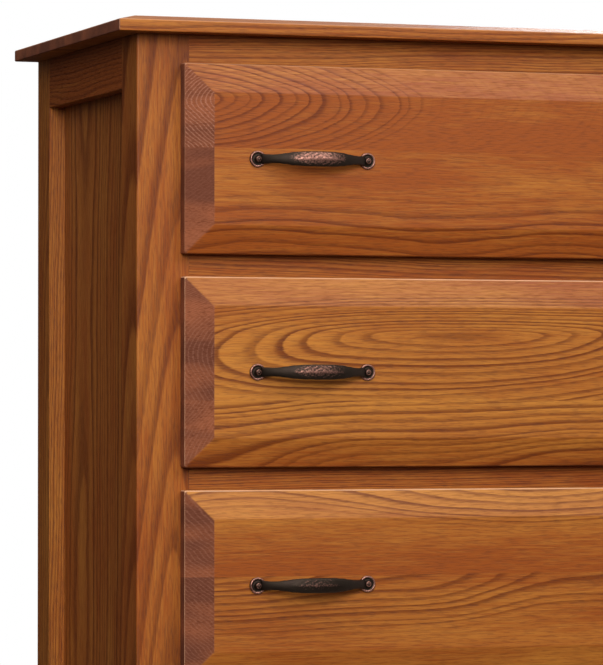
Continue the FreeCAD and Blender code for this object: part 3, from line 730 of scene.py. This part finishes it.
# %% Mesh of a pull
def add_foot(shape, centre, bronze_rub_and_highlight):
    turns = 36
    rings = []
    for radius, height, proud in FOOT_PROFILE:
        ring = []
        for k in range(turns):
            angle = -k * math.tau / turns
            vertex = shape.verts.new((centre + radius * math.cos(angle), -height,
                                      radius * math.sin(angle)))
            vertex[bronze_rub_and_highlight] = proud
            ring.append(vertex)
        rings.append(ring)
    skin(shape, rings)
    tip = shape.verts.new((centre, -FOOT_TIP, 0))
    tip[bronze_rub_and_highlight] = 1.0
    base = shape.verts.new((centre, 0, 0))
    for k in range(turns):
        shape.faces.new((rings[-1][k], rings[-1][k - 1], tip))
        shape.faces.new((rings[0][k - 1], rings[0][k], base))


def vein_relief(place, turned):
    """Height of the leaf's veins on the outer side, as a share from 0 to 1."""
    leaf = max(0.0, 1 - (abs(place) / 34) ** 4)
    vein = 0.5 + 0.5 * math.cos((abs(place) + 15 * abs(turned)) * math.tau / 7.5)
    rib = math.exp(-(turned / 0.16) ** 2)
    return leaf * max(vein ** 2 * (1 - rib) * 0.8, rib)


def add_bow(shape, bronze_rub_and_highlight, bow_rub_and_highlight):
    steps, turns = 96, 28
    end = BOW_OUTLINE[-1][0]
    top = CROWN - LINE_INSET
    rise = top - LINE_INSET
    arc = (end ** 2 + rise ** 2) / (2 * rise)
    rings = []
    for step in range(steps + 1):
        place = end * (2 * step / steps - 1)
        half_height, half_thickness = between(BOW_OUTLINE, abs(place))
        lift = math.sqrt(arc ** 2 - place ** 2)
        height = top - arc + lift
        out = Vector((place / arc, lift / arc))
        wear_and_highlight = bow_rub_and_highlight * max(0.0, 1 - (place / 44) ** 2)
        ring = []
        for k in range(turns):
            angle = k * math.tau / turns
            up = math.sin(angle)
            proud = math.cos(angle)
            share = vein_relief(place, up) * max(0.0, proud)
            thick = math.copysign(abs(proud) ** 0.8, proud) * half_thickness + 0.7 * share
            vertex = shape.verts.new((place + out.x * thick, -(height + out.y * thick),
                                      up * half_height))
            # Rubbed copper on the veins and the outer side; the share from up is a painted
            # highlight on the upper side.
            vertex[bronze_rub_and_highlight] = 0.1 + wear_and_highlight * (0.5 * share + 0.45 * max(0.0, proud + 0.3 * up))
            ring.append(vertex)
        rings.append(ring)
    skin(shape, rings)
    shape.faces.new(rings[0])
    shape.faces.new(rings[-1][::-1])


def pull_mesh(name, bow_rub_and_highlight, material):
    """One pull; its bow's amount, around 1 at most, says how strongly the bow shows rubbed copper
    and a painted highlight.
    """
    shape = bmesh.new()
    bronze_rub_and_highlight = shape.verts.layers.float.new("bronze_rub_and_highlight")
    for side in (-1, 1):
        add_foot(shape, side * SCREW_SPACING / 2, bronze_rub_and_highlight)
    add_bow(shape, bronze_rub_and_highlight, bow_rub_and_highlight)
    return finished_mesh(name, shape, material)


# %% [markdown]
# Aged bronze: a brown oxide skin over a red copper alloy.  Hands keep the high places bright,
# so the same relief that raised the veins also says where the copper shows, and on the bow's
# upper side the same copper colour is a painted highlight.  The skin isn't bare metal, so it
# reflects less and more softly than the rubbed places.

# %% Aged bronze
SKIN, SKIN_GREEN, COPPER_RUB_AND_HIGHLIGHT = "#2B1F1A", "#2F261C", "#B07C6C"
SPECKLE_SIZE, CLOUD_SIZE = 1.6 * MM, 11 * MM


def specks(tree, size, detail):
    """Noise in specks of a size, alike in all directions."""
    place = add(tree, "TexCoord")["Object"]
    return add(tree, "TexNoise", {"Vector": place, "Scale": 1 / size, "Detail": detail})["Fac"]


def bronze_material():
    material, tree, shader = new_material("aged_bronze")
    speckle = specks(tree, SPECKLE_SIZE, 3)
    cloud = specks(tree, CLOUD_SIZE, 2)
    bronze_rub_and_highlight = add(tree, "Attribute", attribute_name="bronze_rub_and_highlight")["Fac"]
    oxide = add(tree, "Mix", {FACTOR: cloud, COLOUR_A: linear(SKIN), COLOUR_B: linear(SKIN_GREEN)},
                data_type="RGBA")[MIXED]
    copper_and_highlight = add(tree, "Math", {0: bronze_rub_and_highlight, 1: speckle}, operation="MULTIPLY")[0]
    copper_and_highlight = add(tree, "MapRange", {"Value": copper_and_highlight, "From Min": 0.2, "From Max": 0.5,
                                    "To Max": 0.85})[0]
    colour = add(tree, "Mix", {FACTOR: copper_and_highlight, COLOUR_A: oxide, COLOUR_B: linear(COPPER_RUB_AND_HIGHLIGHT)},
                 data_type="RGBA")[MIXED]
    rough = add(tree, "MapRange", {"Value": copper_and_highlight, "To Min": 0.5, "To Max": 0.34})[0]
    bump = add(tree, "Bump", {"Height": speckle, "Strength": 0.5, "Distance": 0.25 * MM})
    feed(tree, shader, {"Base Color": colour, "Roughness": rough, "Normal": bump[0],
                        "Metallic": 0.85})
    return material


# %% [markdown]
# The bows of the top drawer's pulls show the most rubbed copper and painted highlight, and each
# other drawer its own amount.  Both pulls of a drawer share one mesh and stand on the face of its
# front.


# %% Hang the pulls
def ride_along(name, mesh, body, place=(0, 0, 0)):
    """New piece that moves with a body."""
    piece = put(name, mesh, place)
    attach(piece, body)
    return piece


BOW_RUB_AND_HIGHLIGHT = {1: 1.1, 2: 0.8, 3: 0.5, 4: 0.7, 5: 0.6}
bronze = bronze_material()
for number, bow_rub_and_highlight in BOW_RUB_AND_HIGHLIGHT.items():
    mesh = pull_mesh(f"bow_pull_{number}", bow_rub_and_highlight, bronze)
    low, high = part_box(f"drawer_{number}_pulls")
    front_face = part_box(f"drawer_{number}_front")[0].y
    reach = (SCREW_SPACING / 2 + FOOT_RADIUS) * MM
    for side, x in (("left", low.x + reach), ("right", high.x - reach)):
        pull = ride_along(f"drawer_{number}_pull_{side}", mesh, f"drawer_{number}",
                          (x, front_face, (low.z + high.z) / 2))
        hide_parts(f"drawer_{number}_pulls")
print("one pull has", len(mesh.polygons), "faces")

# %% [markdown]
# ## Screws and bumpers
#
# What holds the chest together shows when a drawer is open: the machine screws of the pulls,
# the wood screws that fix each block front to its box, and the screws of the drawer runners.
# A screw head is a low dome with a cross pressed into it, so its mesh is a round grid whose
# height drops inside the cross.  Thin felt dots behind the fronts soften the closing.

# %% Screw heads
CROSS_REACH, CROSS_WIDTH = 0.56, 0.15
# Radius of a head and height of its dome.
MACHINE_HEAD, WOOD_HEAD, RUNNER_HEAD, PANEL_HEAD = (4.4, 2.2), (4.0, 1.4), (4.2, 1.5), (3.8, 1.6)


def add_screw(shape, place, out, radius, dome):
    """Round head with a pressed cross, facing out; all in millimetres."""
    turns, steps = 40, 12
    out = Vector(out)
    right = out.cross(Vector((0, 0, 1)))
    middle = shape.verts.new(Vector(place) + out * dome * 0.3)
    rings = []
    for step in range(1, steps + 1):
        reach = radius * math.sin(step / steps * math.pi / 2)
        ring = []
        for k in range(turns):
            angle = k * math.tau / turns
            across, up = reach * math.cos(angle), reach * math.sin(angle)
            height = dome * math.sqrt(max(0.0, 1 - (reach / radius) ** 2 * 0.98))
            slot, length = sorted((abs(across), abs(up)))
            if slot < CROSS_WIDTH * radius and length < CROSS_REACH * radius:
                height -= dome * 0.7 * (1 - length / (CROSS_REACH * radius)) ** 0.5
            ring.append(shape.verts.new(Vector(place) + right * across + out * height
                                        + Vector((0, 0, up))))
        rings.append(ring)
    for k in range(turns):
        shape.faces.new((middle, rings[0][k - 1], rings[0][k]))
    skin(shape, rings)


# %% [markdown]
# Zinc-plated steel is bright but a little cloudy, because the plating is a crust of small
# crystals.  Felt is matt and slightly uneven.


# %% Steel and felt
def speckled_material(name, light, dark, grain, rough, metallic):
    """Two tones mixed in specks as large as the material's grain."""
    material, tree, shader = new_material(name)
    speckle = specks(tree, grain, 3)
    colour = add(tree, "Mix", {FACTOR: speckle, COLOUR_A: linear(dark), COLOUR_B: linear(light)},
                 data_type="RGBA")[MIXED]
    bump = add(tree, "Bump", {"Height": speckle, "Strength": 0.3, "Distance": 0.1 * MM})
    feed(tree, shader, {"Base Color": colour, "Normal": bump[0], "Roughness": rough,
                        "Metallic": metallic})
    return material


zinc = speckled_material("zinc_plated_steel", "#D2CEC4", "#A9A69C", 0.8 * MM, 0.36, 1.0)
felt = speckled_material("brown_felt", "#6A4E3A", "#4A3526", 0.5 * MM, 0.95, 0.0)
print("small materials:", zinc.name, felt.name)

# %% [markdown]
# In each drawer the four machine screws stand behind the feet of the pulls.  The wood screws
# stand above and below the line of the pulls, clear of them.  A felt dot is punched from a
# sheet, so it is a thin disc with a slightly pressed rim.  Four sit behind each front, near
# its corners, where it meets the posts.

# %% Screws and felt dots of the drawers
FRONT_SCREW_X, FRONT_SCREW_RISE = (110, 366), 58
DOT_INSET_X, DOT_INSET_Z = 5, 24
# Radius of a dot, and height above the back of the front.
DOT_PROFILE = ((4.0, 0.0), (4.0, 0.3), (3.7, 0.42))


def drawer_screws(number):
    low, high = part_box(f"drawer_{number}_pulls")
    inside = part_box(f"drawer_{number}_box_front")[1].y / MM
    level = (low.z + high.z) / 2 / MM
    outer_foot = high.x / MM - FOOT_RADIUS
    shape = bmesh.new()
    for x in (outer_foot, outer_foot - SCREW_SPACING):
        for side in (-1, 1):
            add_screw(shape, (side * x, inside, level), (0, 1, 0), *MACHINE_HEAD)
    for x in FRONT_SCREW_X:
        for side in (-1, 1):
            for rise in (-FRONT_SCREW_RISE, FRONT_SCREW_RISE):
                add_screw(shape, (side * x, inside, level + rise), (0, 1, 0), *WOOD_HEAD)
    return shape


def drawer_dots(number):
    low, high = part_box(f"drawer_{number}_front")
    turns = [k * math.tau / 24 for k in range(24)]
    shape = bmesh.new()
    for x in (low.x / MM + DOT_INSET_X, high.x / MM - DOT_INSET_X):
        for z in (low.z / MM + DOT_INSET_Z, high.z / MM - DOT_INSET_Z):
            rings = [[shape.verts.new((x + radius * math.cos(turn), high.y / MM + height,
                                       z + radius * math.sin(turn))) for turn in turns]
                     for radius, height in DOT_PROFILE]
            skin(shape, rings)
            shape.faces.new(rings[-1])
    return shape


for number in FRONT_FIGURES:
    for part, shape, material, slot in (
            ("screws", drawer_screws(number), zinc, "pull_bronze"),
            ("felt_dots", drawer_dots(number), felt, "oak_front")):
        name = f"drawer_{number}_{part}"
        ride_along(name, finished_mesh(name, shape, material), f"drawer_{number}")
print("screws and felt dots in", len(FRONT_FIGURES), "drawers")

# %% [markdown]
# Each runner is screwed to the front and the back post, and the back panel to the posts and to
# the two back rails, with a row of screws along every edge.

# %% Screws of the case
RUNNER_SCREW_Y, RUNNER_SCREW_DROP = (-138, 190), 22
shape = bmesh.new()
runner_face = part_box("runners_left")[1].x / MM
for number in FRONT_FIGURES:
    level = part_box(f"drawer_{number}_side_left")[0].z / MM - RUNNER_SCREW_DROP
    for y in RUNNER_SCREW_Y:
        for side in (-1, 1):
            add_screw(shape, (-side * runner_face, y, level), (-side, 0, 0), *RUNNER_HEAD)
ride_along("runner_screws", finished_mesh("runner_screws", shape, zinc), "case")

shape = bmesh.new()
low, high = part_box("back_panel")
lap = high.x / MM - 5
top_row, bottom_row = high.z / MM - 28, low.z / MM + 28
places = [(side * lap, bottom_row + (top_row - bottom_row) * k / 6)
          for side in (-1, 1) for k in range(7)]
places += [(lap * k / 3, z) for k in (-2, -1, 0, 1, 2) for z in (bottom_row, top_row)]
for x, z in places:
    add_screw(shape, (x, high.y / MM, z), (0, 1, 0), *PANEL_HEAD)
ride_along("back_screws", finished_mesh("back_screws", shape, zinc), "case")
print("screws of the back panel:", len(places))

# %% [markdown]
# ## Light, floor and background
#
# A large soft lamp beside the photographer, a little to the left, lights the fronts and leaves
# the left side in shade.  One above brings out the bevels that look up, a small one on the
# right glints in them, and one behind keeps the back readable.  What the camera sees past the
# chest is plain white, and the room's own light on the wood stays low.


# %% World
def seen_rays(tree):
    """1 for rays that the camera sends, straight, by a mirror or through glass; else 0."""
    rays = add(tree, "LightPath")
    seen = add(tree, "Math", {0: rays["Is Camera Ray"], 1: rays["Is Glossy Ray"]},
               operation="MAXIMUM")[0]
    return add(tree, "Math", {0: seen, 1: rays["Is Transmission Ray"]}, operation="MAXIMUM")[0]


AMBIENT = 0.34
world = bpy.data.worlds.new("studio")
bpy.context.scene.world = world
world.use_nodes = True
tree = world.node_tree
tree.nodes.clear()
strength = add(tree, "MapRange", {"Value": seen_rays(tree), "To Min": AMBIENT, "To Max": 1.0})[0]
background = add(tree, "Background", {"Color": (1, 1, 1, 1), "Strength": strength})
add(tree, "OutputWorld", {"Surface": background[0]})

# %% Lamps
# Place, the point it looks at, width in metres and power in watts.
LAMPS = {
    "front": ((-1.55, -3.82, 2.15), (-0.3, -0.2, 0.95), 1.8, 112),
    "above": ((-0.83, -1.67, 4.2), (-0.2, -0.1, 1.0), 2.6, 52),
    "glint": ((1.18, -2.95, 2.95), (-0.1, -0.2, 1.05), 1.5, 40),
    "rim": ((2.2, 3.0, 3.0), (0, 0.1, 0.8), 1.6, 60),
}
for name, (place, look_at, size, power) in LAMPS.items():
    lamp = bpy.data.lights.new(name, "AREA")
    lamp.shape = "DISK"
    lamp.size = size
    lamp.energy = power
    put(name, lamp, place, look_at)
print("lamps:", *LAMPS)

# %% [markdown]
# Lacquer and bronze mirror whatever stands round them, and in a white room that turns brown
# wood milky and dark metal grey.  A photographer hangs dark cloth where the work would mirror
# the room.  This one lies on the floor and curves up round the left and the front, leaves the
# right open, and only mirrored rays meet it.

# %% Dark cloth
# Distance from the chest and height of the cloth's long lines.
CLOTH_LINES = ((0.9, 0.004), (4.3, 0.004), (4.6, 0.1), (4.8, 4.2))
shape = bmesh.new()
edges = []
for k in range(61):
    angle = math.radians(62 + 270 * k / 60)
    edges.append([shape.verts.new((reach * math.cos(angle), reach * math.sin(angle), z))
                  for reach, z in CLOTH_LINES])
for left, right in zip(edges, edges[1:]):
    for k in range(3):
        shape.faces.new((left[k], left[k + 1], right[k + 1], right[k]))
cloth_mesh = bpy.data.meshes.new("dark_cloth")
shape.to_mesh(cloth_mesh)
shape.free()
cloth_material, tree, shader = new_material("dark_cloth")
feed(tree, shader, {"Base Color": linear("#3A322E"), "Roughness": 1.0, "Specular IOR Level": 0.0})
cloth_mesh.materials.append(cloth_material)
cloth = put("dark_card", cloth_mesh)
for ray in ("camera", "diffuse", "shadow", "transmission", "volume_scatter"):
    setattr(cloth, f"visible_{ray}", False)
print("cloth:", len(cloth_mesh.polygons), "faces")

# %% [markdown]
# A studio floor curves up into the wall with no edge to see.  Here the paint turns into the
# white of the background a few metres away, for seen and mirrored rays only, so that it keeps
# the chest's shadow and adds no light.  The light it throws back on the chest is kept low too.

# %% Floor
FLOOR_PALE, FLOOR_BOUNCE = "#EDEBE8", "#2E2C2A"
FADE_START, FADE_END = 1.3, 4.5
shape = bmesh.new()
bmesh.ops.create_circle(shape, cap_ends=True, segments=128, radius=20)
floor_mesh = bpy.data.meshes.new("floor")
shape.to_mesh(floor_mesh)
shape.free()
floor_material, tree, shader = new_material("pale_floor")
seen = seen_rays(tree)
paint = add(tree, "Mix", {FACTOR: seen, COLOUR_A: linear(FLOOR_BOUNCE),
                          COLOUR_B: linear(FLOOR_PALE)}, data_type="RGBA")[MIXED]
feed(tree, shader, {"Base Color": paint, "Roughness": 0.7, "Specular IOR Level": 0.2})

place = add(tree, "TexCoord")["Object"]
far = add(tree, "VectorMath", {0: place}, operation="LENGTH")["Value"]
far = add(tree, "MapRange", {"Value": far, "From Min": FADE_START, "From Max": FADE_END},
          interpolation_type="SMOOTHSTEP")[0]
far = add(tree, "Math", {0: far, 1: seen}, operation="MULTIPLY")[0]
white = add(tree, "Emission", {"Color": (1, 1, 1, 1), "Strength": 1.0})[0]
cove = add(tree, "MixShader", {0: far, 1: shader.outputs[0], 2: white})[0]
feed(tree, tree.nodes["Material Output"], {"Surface": cove})
floor_mesh.materials.append(floor_material)
put("floor", floor_mesh)
print("floor fades to white from", FADE_START, "to", FADE_END, "m")

# %% Colour view
bpy.context.scene.view_settings.view_transform = "Standard"
